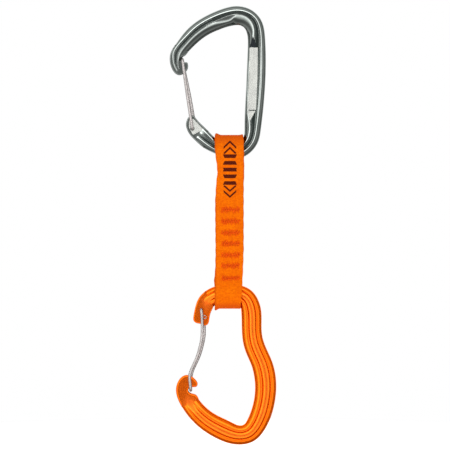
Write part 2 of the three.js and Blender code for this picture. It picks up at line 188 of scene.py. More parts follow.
UPPER_WIRE = [[-30.8, -71.6], [-31.4, -67.5], [-34.3, -48.0], [-37.6, -24.0]]
UPPER_REAR_HOLE = [-29.7, -66.6]
LOWER_WIRE = [
    [-24.6, -196.3], [-24.2, -200.5], [-24.1, -213.9], [-25.2, -220.8], [-27.6, -229.1],
    [-31.0, -236.7], [-32.6, -242.2], [-31.9, -251.8],
]
LOWER_REAR_HOLE = [-22.4, -201.4]
EYELET_R = 1.15
EYELET_WIRE_R = 0.28
EYELET_POINTS = 33
EYELET_SIDES = 10

# -------------------- sling dimensions

WEB_THICK = 1.5
LAYER_Y = 1.8
UPPER_RING = [-86.8, 10.25]  # z and radius of the strap's centre line round the upper bar
LOWER_RING = [-186.3, 8.75]
UPPER_SEAM = -108.8  # where the strap's upper loop piece starts
LOWER_SEAM = -172.6
TAIL_TOP = -122.0
TAIL_BOTTOM = -176.0
STRAP_STEP = 0.45
STRAP_ACROSS = 54
LOOP_LEAN = 14  # degrees past level where the strap leaves the upper ring
FOOT_SPLAY = 41  # degrees above level where it reaches the lower ring

# Edges of the strap, as [z, left x, right x].
STRAP_EDGES = [
    [-74.5, -14.6, 4.1], [-77.0, -15.2, 4.3], [-81.0, -15.5, 4.6], [-89.0, -15.0, 4.8],
    [-97.0, -13.9, 4.9], [-101.5, -13.5, 5.0], [-110.0, -14.4, 4.6], [-122.0, -15.1, 4.6],
    [-155.0, -14.8, 4.6], [-168.0, -15.0, 4.2], [-176.0, -15.8, 3.8], [-183.0, -15.5, 3.4],
    [-190.0, -15.4, 2.8], [-196.0, -15.5, 2.4],
]

TACK_Z = [-127.4, -135.4, -143.3, -150.8, -158.8, -165.9, -174.7]
TACK_FROM = -10.6
TACK_TO = 2.6
TACK_HEIGHT = 4.6
TACK_PINCH = 0.2  # share of its thickness that the webbing loses under a bartack
STITCH_PITCH = 1.15
STITCH_SHIFT = 0.12  # unevenness of the pitch
STITCH_REACH = [-1.1, 0.4]  # unevenness of each stitch's height
STITCH_LIFT = [-0.1, 0.22]  # how far a stitch's middle stands off the webbing
THREAD_R = 0.19
THREAD_STEP = 0.3
THREAD_SIDES = 7
SEWN_HEIGHTS = [-178.5, -110]  # between which the bartacks read the strap's surface

# -------------------- looks

WEAVE_CORD = 1.02
WEAVE_YARN = 0.72
WEAVE_SLANT = 0.8
WEAVE_CENTRE = -5.1  # x of the middle of the strap
# The gap and fold colours are painted shade: between the yarns, and where the strap turns round the
# bars.
WEB_LIGHT = (0.99, 0.2, 0.001, 1)
WEB_MIDDLE = (0.9, 0.16, 0.001, 1)
WEB_GAP_SHADE = (0.62, 0.095, 0.003, 1)
WEB_PATCHES = (0.72, 0.095, 0.001, 1)
WEB_SELVEDGE = (0.55, 0.075, 0.002, 1)
WEB_FOLD_SHADE = (0.66, 0.085, 0.003, 1)
WEB_PRINT = (0.065, 0.006, 0.005, 1)
SELVEDGE = [8.7, 9.7]  # where the edge's deeper colour starts and is full, from the middle

# The printed motif: its centre on the strap as [x, z], then its sizes.
PRINT_CENTRE = [-4.9, -99.8]
BAR_PITCH = 4.6
BAR_HALF = 1.3
BAR_REACH = [3.3, 0.45]  # least half length of a bar, and the slant of its ends
LADDER_END = 10.4
CHEVRON_START = 10.8
CHEVRON_CENTRES = [14.6, 18.6]
CHEVRON_SLOPE = 0.9
CHEVRON_SIDE = 4.4
CHEVRON_HALF = 0.8
OFF_PRINT = [50.0, 50.0]  # a place beyond the motif, for all that isn't printed

# How pale the flat ends are made, then how much painted shade each body's flat ends take.
FLAT_PALING = 0.15
UPPER_FLATS = 0.3
LOWER_FLATS = -1.0
SAME_PLACE = 0.3  # mm within which a cut body's vertex takes its wear, painted highlight and painted shade from the uncut bar
CREST_WEAR_AND_HIGHLIGHT = 0.5  # mm beside a crest over which its rubbed line and painted highlight fade

# What reflections see, as [degrees from the camera's side, radiance].
REFLECTED = [
    [180, 0.75], [166, 0.75], [153, 2.6], [140, 2.6], [126, 0.6], [112, 0.6], [96, 0.9],
    [82, 1.5], [66, 0.5], [56, 0.6], [42, 4.4], [28, 4.6], [15, 0.74], [0, 0.7],
]

GLOSS_UP = [0.65, 1.4]  # share of it below and above the object
GLOSS_ASIDE = [1.2, 0.85]  # and on its left and right
SKY = 0.8  # what matt surfaces see

# Places in the studio are in metres, and the floor is in millimetres.
LIT_CENTRE = (-0.008, 0, -0.138)
CAMERA_PLACE = (-0.00828, -1.725, -0.138)
CAMERA_LENS = 200
CAMERA_SENSOR = 36
CAMERA_REACH = 20
FLOOR_CENTRE = (-8.0, 0.0)
FLOOR_Z = -305.0
FLOOR_R = 420.0
FLOOR_SIDES = 96

# -------------------- curves


def smooth(t):
    """An even step from 0 to 1."""
    s = min(max(t, 0.0), 1.0)
    return s * s * (3 - 2 * s)


def spline(knots, values, at):
    """The natural cubic spline through values at rising knots, read at other parameters."""
    gap = np.diff(knots)
    slope = np.diff(values, axis=0) / gap[:, None]
    count = len(knots)
    matrix = np.eye(count)
    right = np.zeros_like(values)
    for i in range(1, count - 1):
        matrix[i, i - 1 : i + 2] = [gap[i - 1], 2 * (gap[i - 1] + gap[i]), gap[i]]
        right[i] = 6 * (slope[i] - slope[i - 1])
    bend = np.linalg.solve(matrix, right)
    k = np.clip(np.searchsorted(knots, at) - 1, 0, count - 2)
    a = ((knots[k + 1] - at) / gap[k])[:, None]
    b = 1 - a
    cubic = (a**3 - a) * bend[k] + (b**3 - b) * bend[k + 1]
    return a * values[k] + b * values[k + 1] + cubic * gap[k][:, None] ** 2 / 6


def distances(points, power=1.0):
    """The running sum of the gaps between points, each gap raised to a power."""
    gaps = np.linalg.norm(np.diff(points, axis=0), axis=1)
    return np.concatenate([[0], np.cumsum(gaps**power)])


def resample(points, step):
    """The same open curve with its samples about step apart."""
    total = distances(points)
    count = max(3, int(round(total[-1] / step)) + 1)
    at = np.linspace(0, total[-1], count)
    return np.stack([np.interp(at, total, column) for column in points.T], axis=1)


def curve(points, step, power):
    """A smooth open curve through the points, about step apart. A low power rounds close ones."""
    values = np.array(points, float)
    knots = distances(values, power)
    at = np.linspace(0, knots[-1], SPLINE_SAMPLES * len(values))
    return resample(spline(knots, values, at), step)


def smoothed(values, sigma):
    """Evens out a sampled curve with a bell of sigma samples, keeping its ends."""
    reach = int(3 * sigma)
    bell = np.exp(-0.5 * (np.arange(-reach, reach + 1) / sigma) ** 2)
    bell /= bell.sum()
    before = 2 * values[0] - values[reach:0:-1]
    after = 2 * values[-1] - values[-2 : -reach - 2 : -1]
    padded = np.concatenate([before, values, after])
    return np.stack([np.convolve(column, bell, "valid") for column in padded.T], axis=1)


# -------------------- meshes


def new_object(name, vertices, faces, materials=()):
    """A smooth-shaded mesh object from vertices in millimetres."""
    mesh = bpy.data.meshes.new(name)
    mesh.from_pydata((np.asarray(vertices, float) * MM).tolist(), [], faces)
    mesh.update()
    obj = bpy.data.objects.new(name, mesh)
    bpy.context.collection.objects.link(obj)
    for material in materials:
        mesh.materials.append(material)
    mesh.polygons.foreach_set("use_smooth", [True] * len(mesh.polygons))
    return obj


def loft_faces(stations, around):
    """The quads between neighbouring rings."""
    faces = []
    for i in range(stations - 1):
        for j in range(around):
            a = i * around + j
            b = i * around + (j + 1) % around
            faces.append((a, b, b + around, a + around))
    return faces


def loft(name, rings, materials=()):
    """A closed skin over rings of points, with a flat cap at each end."""
    stations, around = rings.shape[:2]
    last = (stations - 1) * around
    faces = loft_faces(stations, around)
    faces.append(tuple(range(around - 1, -1, -1)))
    faces.append(tuple(range(last, last + around)))
    return new_object(name, rings.reshape(-1, 3), faces, materials)


def outward(obj):
    """Turns the faces outward, judged by the sign of the volume."""
    mesh = obj.data
    mesh.calc_loop_triangles()
    points = [v.co for v in mesh.vertices]
    volume = 0.0
    for triangle in mesh.loop_triangles:
        a, b, c = (points[i] for i in triangle.vertices)
        volume += a.dot(b.cross(c))
    if volume < 0:
        mesh.flip_normals()
    return obj


def set_float(obj, name, values):
    """Writes a number per vertex, for a material to read."""
    attribute = obj.data.attributes.new(name, "FLOAT", "POINT")
    attribute.data.foreach_set("value", np.asarray(values, np.float32).ravel())


def set_uv(obj, uv, name="UVMap", wrap=None):
    """Writes a UV per vertex. Where a skin closes on itself, wrap is the whole way round."""
    layer = obj.data.uv_layers.new(name=name)
    index = np.zeros(len(obj.data.loops), np.int32)
    obj.data.loops.foreach_get("vertex_index", index)
    corners = np.asarray(uv, np.float32)[index]
    if wrap:
        quads = 4 * (len(obj.data.polygons) - 2)
        around = corners[:quads, 0].reshape(-1, 4)
        crossing = np.ptp(around, axis=1, keepdims=True) > wrap / 2
        around += wrap * (crossing & (around < wrap / 2))
    layer.data.foreach_set("uv", corners.ravel())


def bake_modifiers(obj):
    """Gives the object the mesh that its modifiers make."""
    depsgraph = bpy.context.evaluated_depsgraph_get()
    mesh = bpy.data.meshes.new_from_object(obj.evaluated_get(depsgraph))
    obj.modifiers.clear()
    old = obj.data
    obj.data = mesh
    bpy.data.meshes.remove(old)


def combine(obj, tool, operation):
    """Joins the tool to the object or cuts it away, and removes the tool."""
    modifier = obj.modifiers.new("combine", "BOOLEAN")
    modifier.operation = operation
    modifier.solver = "EXACT"
    modifier.object = tool
    bake_modifiers(obj)
    bpy.data.objects.remove(tool)


def shade(obj, degrees):
    """Smooth shading that breaks at real corners and stays even over flats."""
    obj.data.set_sharp_from_angle(angle=math.radians(degrees))
    modifier = obj.modifiers.new("normals", "WEIGHTED_NORMAL")
    modifier.keep_sharp = True
    bake_modifiers(obj)


def tube(name, path, radius, sides, material):
    """A round tube along a path, whose section doesn't twist, with a UV of angle and length."""
    path = np.asarray(path, float)
    tangents = np.gradient(path, axis=0)
    tangents /= np.linalg.norm(tangents, axis=1)[:, None]
    normal = np.cross(tangents[0], [0.3, 0.1, 0.9])  # no path here starts along this direction
    rings = []
    angles = np.arange(sides) * 2 * math.pi / sides
    for point, tangent in zip(path, tangents):
        normal = normal - tangent * normal.dot(tangent)
        normal /= np.linalg.norm(normal)
        side = np.cross(tangent, normal)
        ring = np.outer(np.cos(angles), normal) + np.outer(np.sin(angles), side)
        rings.append(point + ring * radius)
    obj = outward(loft(name, np.array(rings), [material]))
    uv = [(angle * radius, length) for length in distances(path) for angle in angles]
    set_uv(obj, uv, wrap=2 * math.pi * radius)
    return obj


def prism(name, outline, y0, y1, materials, index=0):
    """An [x, z] outline carried from y0 to y1, with one of the materials all over."""
    count = len(outline)
    near = [(x, y0, z) for x, z in outline]
    far = [(x, y1, z) for x, z in outline]
    faces = [(i, (i + 1) % count, (i + 1) % count + count, i + count) for i in range(count)]
    faces.append(tuple(range(count - 1, -1, -1)))
    faces.append(tuple(range(count, 2 * count)))
    obj = outward(new_object(name, near + far, faces, materials))
    obj.data.polygons.foreach_set("material_index", [index] * len(faces))
    return obj


def rounded(outline, radius, steps=5):
    """A polygon with its corners rounded by short curves."""
    points = np.array(outline, float)
    made = []
    for i, corner in enumerate(points):
        before = points[i - 1] - corner
        after = points[(i + 1) % len(points)] - corner
        start = corner + before / np.linalg.norm(before) * radius
        end = corner + after / np.linalg.norm(after) * radius
        for t in np.linspace(0, 1, steps):
            made.append((1 - t) ** 2 * start + 2 * t * (1 - t) * corner + t * t * end)
    return np.array(made)


def circle(centre, radius, count=40):
    """Points evenly round a circle."""
    angles = np.arange(count) * 2 * math.pi / count
    return np.stack([centre[0] + radius * np.cos(angles), centre[1] + radius * np.sin(angles)], 1)


# -------------------- material nodes


class Nodes:
    """Builds a node tree: each call adds a node, sets its inputs and gives its first output."""

    def __init__(self, tree):
        self.tree = tree
        tree.nodes.clear()

    def add(self, kind, inputs=(), out=0, **settings):
        made = self.tree.nodes.new(kind)
        for key, value in settings.items():
            setattr(made, key, value)
        for key, value in dict(inputs).items():
            if isinstance(value, bpy.types.NodeSocket):
                self.tree.links.new(value, made.inputs[key])
            else:
                made.inputs[key].default_value = value
        return made.outputs[out] if made.outputs else made

    def math(self, operation, a, b=0.0):
        return self.add("ShaderNodeMath", {0: a, 1: b}, operation=operation)

    def parts(self, vector):
        return self.add("ShaderNodeSeparateXYZ", {0: vector}).node.outputs

    def spread(self, value, low, high, to_low=0.0, to_high=1.0):
        inputs = {0: value, 1: low, 2: high, 3: to_low, 4: to_high}
        return self.add("ShaderNodeMapRange", inputs)

    def mix(self, factor, a, b):
        inputs = {0: factor, 6: a, 7: b}
        return self.add("ShaderNodeMix", inputs, out=2, data_type="RGBA")

    def noise(self, vector, scale, detail=3.0, roughness=0.55):
        inputs = {"Vector": vector, "Scale": scale, "Detail": detail, "Roughness": roughness}
        return self.add("ShaderNodeTexNoise", inputs)

    def attribute(self, name):
        return self.add("ShaderNodeAttribute", out=2, attribute_name=name)

    def stretch(self, vector, scale):
        return self.add("ShaderNodeMapping", {"Vector": vector, "Scale": scale})

    def bump(self, height, distance, strength=1.0, normal=None):
        inputs = {"Height": height, "Distance": distance, "Strength": strength}
        if normal is not None:
            inputs["Normal"] = normal
        return self.add("ShaderNodeBump", inputs)

    def surface(self, **sockets):
        inputs = {key.replace("_", " "): value for key, value in sockets.items()}
        shader = self.add("ShaderNodeBsdfPrincipled", inputs)
        self.add("ShaderNodeOutputMaterial", {"Surface": shader})


def new_material(name):
    material = bpy.data.materials.new(name)
    material.use_nodes = True
    return material, Nodes(material.node_tree)


def anodised(name, base, dark, bright, rough, edge):
    """Polished forged aluminium under a colour: paler on its crests, from rubbed wear and a painted
    highlight, and darker and rougher in its grooves, from painted shade.

    A negative painted shade leaves the colour as it is and only polishes it further.
    """
    material, n = new_material(name)
    place = n.add("ShaderNodeTexCoord", out=3)
    broad = n.noise(place, 90.0)
    fine = n.noise(place, 1500.0, 4.0)
    grain = n.noise(n.stretch(place, (1.0, 1.0, 0.12)), 5200.0, 2.0)
    scuffs = n.spread(n.noise(place, 420.0, 6.0, 0.7), 0.54, 0.62)
    # Paler along the crests: rubbed wear and a painted highlight, unevenly through the scuffs.
    wear_and_highlight = n.math("MULTIPLY", n.attribute("wear_and_highlight"), n.spread(scuffs, 0.0, 1.0, 0.4, 0.55))
    recess_shade = n.attribute("recess_shade")
    tinted = n.mix(n.spread(broad, 0.3, 0.7, 0.0, 0.25), base, dark)
    # Darker in the recesses and grooves: painted shade.
    tinted = n.mix(n.math("MULTIPLY", recess_shade, 0.95), tinted, dark)
    colour = n.mix(wear_and_highlight, tinted, bright)
    roughness = n.math("ADD", n.spread(fine, 0.3, 0.7, rough - 0.03, rough + 0.05),
                       n.math("MULTIPLY", recess_shade, 0.06))
    normal = n.bump(grain, 6e-6, 0.2)
    normal = n.bump(fine, 8e-6, 0.3, normal)
    n.surface(Base_Color=colour, Metallic=1.0, Roughness=roughness, Normal=normal,
              Specular_Tint=edge)
    return material


def machined(name, base, dark):
    """Bare milled aluminium, with fine cutter lines."""
    material, n = new_material(name)
    place = n.add("ShaderNodeTexCoord", out=3)
    lines = n.noise(n.stretch(place, (1.0, 1.0, 0.08)), 3600.0, 2.0)
    broad = n.noise(place, 160.0)
    colour = n.mix(n.spread(broad, 0.35, 0.7), base, dark)
    roughness = n.spread(lines, 0.3, 0.7, 0.2, 0.225)
    normal = n.bump(lines, 1e-5, 0.12)
    n.surface(Base_Color=colour, Metallic=1.0, Roughness=roughness, Normal=normal)
    return material


def wire_steel(name, light, dull):
    """Drawn stainless wire: fine lines along its length and faint dulling."""
    material, n = new_material(name)
    length = n.add("ShaderNodeUVMap", uv_map="UVMap")
    lines = n.noise(n.stretch(length, (5.0, 0.06, 1.0)), 2.2, 2.0)
    broad = n.noise(n.stretch(length, (0.4, 0.16, 1.0)), 1.0, 2.0)
    colour = n.mix(n.spread(broad, 0.35, 0.7), light, dull)
    roughness = n.spread(lines, 0.3, 0.7, 0.46, 0.54)
    normal = n.bump(lines, 3e-6, 0.2)
    n.surface(Base_Color=colour, Metallic=1.0, Roughness=roughness, Normal=normal)
    return material


def weave_height(n, across, along):
    """Herringbone webbing: cords along the strap, each crossed by slanting yarns."""
    cord = n.math("MULTIPLY", across, math.pi / WEAVE_CORD)
    ridge = n.math("ABSOLUTE", n.math("SINE", cord))
    side = n.math("PINGPONG", n.math("DIVIDE", across, WEAVE_CORD), 1.0)
    slant = n.math("MULTIPLY", side, WEAVE_SLANT)
    yarn = n.math("ADD", n.math("DIVIDE", along, WEAVE_YARN), slant)
    wave = n.spread(n.math("SINE", n.math("MULTIPLY", yarn, 2 * math.pi)), -1.0, 1.0)
    return n.math("ADD", n.math("MULTIPLY", ridge, 0.65), n.math("MULTIPLY", wave, 0.35))


def ladder_mask(n, side, z):
    """Bars across the strap, whose ends slant one way and the other in turn."""
    bar = n.math("LESS_THAN", n.math("PINGPONG", z, BAR_PITCH / 2), BAR_HALF)
    bar = n.math("MULTIPLY", bar, n.math("LESS_THAN", z, LADDER_END))
    growth = n.math("PINGPONG", n.math("ADD", z, BAR_PITCH / 2), BAR_PITCH)
    reach = n.math("ADD", n.math("MULTIPLY", growth, BAR_REACH[1]), BAR_REACH[0])
    return n.math("MULTIPLY", bar, n.math("LESS_THAN", side, reach))


def chevron_mask(n, side, z):
    """Two chevrons beyond the ladder, which open toward it."""
    slope = n.math("ADD", z, n.math("MULTIPLY", side, CHEVRON_SLOPE))
    strokes = []
    for centre in CHEVRON_CENTRES:
        distance = n.math("ABSOLUTE", n.math("SUBTRACT", slope, centre))
        strokes.append(n.math("LESS_THAN", distance, CHEVRON_HALF))
    chevrons = n.math("MAXIMUM", *strokes)
    chevrons = n.math("MULTIPLY", chevrons, n.math("LESS_THAN", side, CHEVRON_SIDE))
    return n.math("MULTIPLY", chevrons, n.math("GREATER_THAN", z, CHEVRON_START))


def print_mask(n):
    """A plain printed motif down the strap: chevrons at both ends of a ladder of bars."""
    place = n.add("ShaderNodeUVMap", uv_map="Print")
    side, z = (n.math("ABSOLUTE", part) for part in n.parts(place)[:2])
    return n.math("MAXIMUM", ladder_mask(n, side, z), chevron_mask(n, side, z))


def webbing_colour(n, place, across, height, fuzz):
    """Dyed orange, deeper at the edges and in patches, with painted shade between the yarns and
    over the folds.
    """
    broad = n.noise(place, 0.09, 3.0)
    patches = n.noise(n.stretch(place, (0.5, 0.9, 1.0)), 0.9, 4.0, 0.65)
    selvedge = n.spread(n.math("ABSOLUTE", across), *SELVEDGE, 0.0, 0.7)
    worn = n.math("MULTIPLY", print_mask(n), n.spread(fuzz, 0.3, 0.48, 0.6, 1.0))
    colour = n.mix(n.spread(broad, 0.35, 0.65), WEB_LIGHT, WEB_MIDDLE)
    # Painted shade between the yarns, where the weave is low.
    colour = n.mix(n.spread(height, 0.1, 0.7, 0.5, 0.0), colour, WEB_GAP_SHADE)
    colour = n.mix(n.spread(patches, 0.42, 0.66, 0.0, 0.7), colour, WEB_PATCHES)
    colour = n.mix(selvedge, colour, WEB_SELVEDGE)
    # Painted shade where the strap turns round the bars.
    colour = n.mix(n.math("MULTIPLY", n.attribute("fold_shading"), 0.85), colour, WEB_FOLD_SHADE)
    return n.mix(worn, colour, WEB_PRINT)


def webbing(name):
    """Matt woven webbing with a printed motif."""
    material, n = new_material(name)
    place = n.add("ShaderNodeUVMap", uv_map="UVMap")
    across, along = n.parts(place)[:2]
    height = weave_height(n, across, along)
    fuzz = n.noise(place, 3.4, 3.0)
    colour = webbing_colour(n, place, across, height, fuzz)
    normal = n.bump(height, 1.6e-4, 0.8)
    normal = n.bump(fuzz, 4e-5, 0.5, normal)
    n.surface(Base_Color=colour, Roughness=0.9, Normal=normal, Specular_IOR_Level=0.03)
    return material


def thread(name, light, dark):
    """Twisted polyester thread, with a slight sheen."""
    material, n = new_material(name)
    place = n.add("ShaderNodeUVMap", uv_map="UVMap")
    around, along = n.parts(place)[:2]
    twist = n.math("ADD", n.math("MULTIPLY", around, 9.0), along)
    plies = n.math("SINE", n.math("MULTIPLY", twist, 8.0))
    broad = n.noise(place, 0.5, 2.0)
    colour = n.mix(n.spread(broad, 0.35, 0.65), light, dark)
    normal = n.bump(plies, 5e-5, 0.6)
    n.surface(Base_Color=colour, Roughness=0.7, Normal=normal, Specular_IOR_Level=0.15)
    return material


# In each anodised metal, bright is a painted highlight along the crests, and dark is a random tone
# that in the recesses is painted shade.
GREY = anodised(
    "grey_metal", base=(0.15, 0.165, 0.155, 1), dark=(0.022, 0.03, 0.027, 1),
    bright=(0.5, 0.53, 0.51, 1), rough=0.13, edge=(0.55, 0.57, 0.56, 1),
)
SHADED = anodised(
    "shaded_metal", base=(0.03, 0.036, 0.04, 1), dark=(0.02, 0.024, 0.028, 1),
    bright=(0.1, 0.11, 0.11, 1), rough=0.2, edge=(0.5, 0.5, 0.5, 1),
)
ORANGE = anodised(
    "orange_metal", base=(0.63, 0.092, 0.002, 1), dark=(0.48, 0.066, 0.001, 1),
    bright=(0.93, 0.22, 0.04, 1), rough=0.3, edge=(0.95, 0.55, 0.2, 1),
)
BARE = machined("bare_metal", base=(0.85, 0.865, 0.81, 1), dark=(0.72, 0.73, 0.69, 1))
WIRE = wire_steel("wire_steel", light=(0.29, 0.27, 0.263, 1), dull=(0.25, 0.233, 0.226, 1))
WEBBING = webbing("webbing")
THREAD = thread("thread", light=(1.0, 0.12, 0.002, 1), dark=(0.86, 0.08, 0.001, 1))

# -------------------- carabiner bodies


def hollow(start, end, depth, count):
    """A recess between two crests: shares of the width, drops and how far in shade."""
    v = np.linspace(0, 1, count + 2)[1:-1]
    wall = np.clip(np.minimum(v, 1 - v) / 0.2, 0, 1) ** 1.6
    shade = np.array([smooth((t - 0.05) / 0.3) * smooth((1 - t) / 0.12) for t in v])
    return start + (end - start) * v, depth * wall, min(depth, 1.0) * shade


def flank(share, half):
    """From an edge up to a crest: shares of the width and drops. A wide flank is less round."""
    quarter = np.linspace(0, math.pi / 2, 13)
    power = 1 + 0.3 * smooth((share - 0.2) / 0.1) + 0.25 * smooth((share - 0.35) / 0.1)
    return share * (1 - np.cos(quarter) ** power), half * (1 - np.sin(quarter) ** power)


def upper_face(width, thick, depth, outer, middle, inner, second):
    """From the outer to the inner edge: shares of the width, heights, wear with painted highlight,
    and painted shade.
    """
    half = thick / 2
    near = flank(outer, half)
    far = flank(1 - inner, half)
    first = hollow(outer, middle, depth, 20)
    last = hollow(middle, inner, second, 8)
    u = np.concatenate([near[0], first[0], [middle], last[0], 1 - far[0][::-1]])
    y = half - np.concatenate([near[1], first[1], [0], last[1], far[1][::-1]])
    # Rubbed wear and a painted highlight along the crests; painted shade in the recesses.
    crest = np.min([abs(u - at) for at in (outer, middle, inner)], axis=0) * width
    recess_shade = np.concatenate([near[0] * 0, first[2], [0], last[2], far[0] * 0])
    return u, y, np.exp(-crest / CREST_WEAR_AND_HIGHLIGHT), recess_shade


def lower_face(width, thick, depth):
    """From the outer to the inner edge: shares of the width, heights, wear with painted highlight,
    and painted shade.
    """
    half = thick / 2
    u = 0.5 - 0.5 * np.cos(np.linspace(0, math.pi, 45))
    near = np.linspace(-0.09, 0.09, 13)
    u = np.unique(np.concatenate([u, *[groove + near for groove in LOWER_GROOVES]]))
    square, full = LOWER_BULGE
    y = half * (1 - abs(2 * u - 1) ** square) ** (1 / full)
    recess_shade = np.zeros_like(u)
    for groove in LOWER_GROOVES:
        valley = np.exp(-abs(u - groove) * width / LOWER_GROOVE_REACH)
        y = y - depth * valley
        recess_shade = np.maximum(recess_shade, min(depth, 1.0) * valley**2)
    # Rubbed wear and a painted highlight on the tops of the bands, kept out of the grooves.
    return u, y, 0.5 * (1 - recess_shade) * np.clip(y / half, 0, 1) ** 6, recess_shade


def bar_stations(ribs, form):
    """Evenly spaced stations: a smooth curve through the ribs, with the form read along it."""
    values = np.array(ribs, float)
    knots = distances(values, 0.75)
    at = np.linspace(0, knots[-1], SPLINE_SAMPLES * len(values))
    extra = [np.interp(at, knots, column) for column in np.array(form).T]
    both = np.column_stack([spline(knots, values, at), *extra])
    return smoothed(resample(both, BAR_STEP), BAR_SMOOTHING / BAR_STEP)


def body_bar(name, ribs, form, face, materials):
    """The bar of a carabiner, and the wear with painted highlight and the painted shade at each of
    its vertices.
    """
    rings, wear_and_highlight, recess_shade = [], [], []
    for ox, oz, ix, iz, *section in bar_stations(ribs, form):
        width = math.hypot(ix - ox, iz - oz)
        # worn is rubbed wear with painted highlight, low is painted shade.
        u, y, worn, low = face(width, *section)
        x = ox + (ix - ox) * u
        z = oz + (iz - oz) * u
        front = np.stack([x, -y, z], axis=1)
        back = np.stack([x, y, z], axis=1)[-2:0:-1]
        rings.append(np.concatenate([front, back]))
        wear_and_highlight.append(np.concatenate([worn, worn[-2:0:-1]]))
        recess_shade.append(np.concatenate([low, low[-2:0:-1]]))
    obj = outward(loft(name, np.array(rings), materials))
    return obj, np.concatenate(wear_and_highlight), np.concatenate(recess_shade)


def plate(name, contour, thick, bevel, materials):
    """A flat end of the forging with softly rounded edges, cut off straight inside the bar."""
    points = curve(contour, PLATE_STEP, 0.6)
    after = np.roll(points, -1, axis=0)
    ahead = after - np.roll(points, 1, axis=0)
    inward = np.stack([-ahead[:, 1], ahead[:, 0]], axis=1)
    inward /= np.linalg.norm(inward, axis=1)[:, None]
    inward *= math.copysign(1, np.sum(points[:, 0] * after[:, 1] - points[:, 1] * after[:, 0]))
    place = np.arange(len(points)) * PLATE_STEP
    from_ends = np.minimum(place, place[::-1])
    soft = np.array([bevel * smooth(d / BEVEL_RUN) for d in from_ends])
    rings = []
    angles = list(np.linspace(0, math.pi / 2, 6))
    for side, order in ((-1, angles), (1, angles[::-1])):
        for angle in order:
            inset = points + inward * soft[:, None] * (1 - math.sin(angle))
            y = side * (thick / 2 - soft * (1 - math.cos(angle)))
            rings.append(np.stack([inset[:, 0], y, inset[:, 1]], axis=1))
    return outward(loft(name, np.array(rings), materials))


def pivot_hole(obj, centre, side, materials):
    """A blind hole for a gate's tip, from the front (side -1) or the back (side 1)."""
    inner = side * (TIP_Y - HOLE_PAST_TIP)
    outer = side * BASKET_THICK
    tool = prism("hole", circle(centre, HOLE_R), min(inner, outer), max(inner, outer), materials)
    combine(obj, tool, "DIFFERENCE")


def carry_attributes(obj, source, wear_and_highlight, recess_shade, flats):
    """Takes each vertex's wear with painted highlight, and its painted shade, from the bar as it
    was lofted; flats have their own.
    """
    tree = KDTree(len(source))
    for i, point in enumerate(source):
        tree.insert(point, i)
    tree.balance()
    worn, low = [], []
    for vertex in obj.data.vertices:
        _, i, distance = tree.find(vertex.co)
        near = distance < SAME_PLACE * MM
        worn.append(wear_and_highlight[i] if near else FLAT_PALING)
        low.append(recess_shade[i] if near else flats)
    set_float(obj, "wear_and_highlight", worn)
    set_float(obj, "recess_shade", low)


def carabiner(name, bar, plates, cuts, holes, materials, flats):
    """One forging: a bar, the plates at its ends, the flats cut into it and its pivot holes."""
    obj, wear_and_highlight, recess_shade = body_bar(name, *bar, materials)
    source = [v.co.copy() for v in obj.data.vertices]
    for contour, thick, bevel in plates:
        combine(obj, plate("plate", contour, thick, bevel, materials), "UNION")
    for outline, corner, depth, index in cuts:
        tool = prism("cut", rounded(outline, corner), -BASKET_THICK, -depth, materials, index)
        combine(obj, tool, "DIFFERENCE")
    for centre, side in holes:
        pivot_hole(obj, centre, side, materials)
    carry_attributes(obj, source, wear_and_highlight, recess_shade, flats)
    shade(obj, BODY_CORNER)
    return obj


def upper_carabiner():
    bar = (UPPER_RIBS, UPPER_FORM, upper_face)
    plates = [
        (UPPER_PLATE, END_THICK, UPPER_BEVEL),
        (UPPER_NOSE, UPPER_NOSE_THICK, UPPER_BEVEL),
    ]
    cuts = [
        (PANEL_OUTLINE, PANEL_CORNER, PANEL_FLOOR, 1),
        (POINT_OUTLINE, PANEL_CORNER, PANEL_FLOOR, 1),
        (PIVOT_FLAT, PIVOT_CORNER, PIVOT_FLOOR, 1),
        (SHADED_OUTLINE, PANEL_CORNER, PANEL_FLOOR, 2),
    ]
    holes = [(UPPER_WIRE[0], -1), (UPPER_REAR_HOLE, 1)]
    materials = [GREY, BARE, SHADED]
    obj = carabiner("upper_body", bar, plates, cuts, holes, materials, UPPER_FLATS)
    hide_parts("upper_carabiner_body")
    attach(obj, "upper_carabiner")


def lower_carabiner():
    bar = (LOWER_RIBS, LOWER_FORM, lower_face)
    plates = [
        (LOWER_PLATE, END_THICK, LOWER_PLATE_BEVEL),
        (LOWER_NOSE, END_THICK, LOWER_NOSE_BEVEL),
    ]
    holes = [(LOWER_WIRE[0], -1), (LOWER_REAR_HOLE, 1)]
    obj = carabiner("lower_body", bar, plates, [], holes, [ORANGE], LOWER_FLATS)
    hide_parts("lower_carabiner_body")
    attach(obj, "lower_carabiner")


def eyelet():
    """The steel ring round the lower gate's rear hole, seen on the front of the plate."""
    points = circle(LOWER_REAR_HOLE, EYELET_R, EYELET_POINTS)
    ring = [[x, -END_THICK / 2, z] for x, z in points]
    obj = tube("lower_eyelet", ring, EYELET_WIRE_R, EYELET_SIDES, WIRE)
    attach(obj, "lower_carabiner")


# -------------------- wire gates


def front_leg(hole, knee, middle):
    """Out of the front hole and along the leg, as (place, y)."""
    bent = hole + (knee - hole) * 0.25
    leg = [(p, -LEG_Y) for p in (bent, knee, *middle)]
    return [(hole, -TIP_Y), (hole, WIRE_CORNER - LEG_Y), *leg]


def nose_bend(before, end):
    """Across from the front leg to the rear one."""
    run = (end - before) / np.linalg.norm(end - before)
    length, depth = NOSE_BEND
    rear = [(end, LEG_Y - depth), (end - run * WIRE_CORNER, LEG_Y - WIRE_CORNER),
            (end - run * length, LEG_Y)]
    return [(p, -y) for p, y in rear[::-1]] + rear


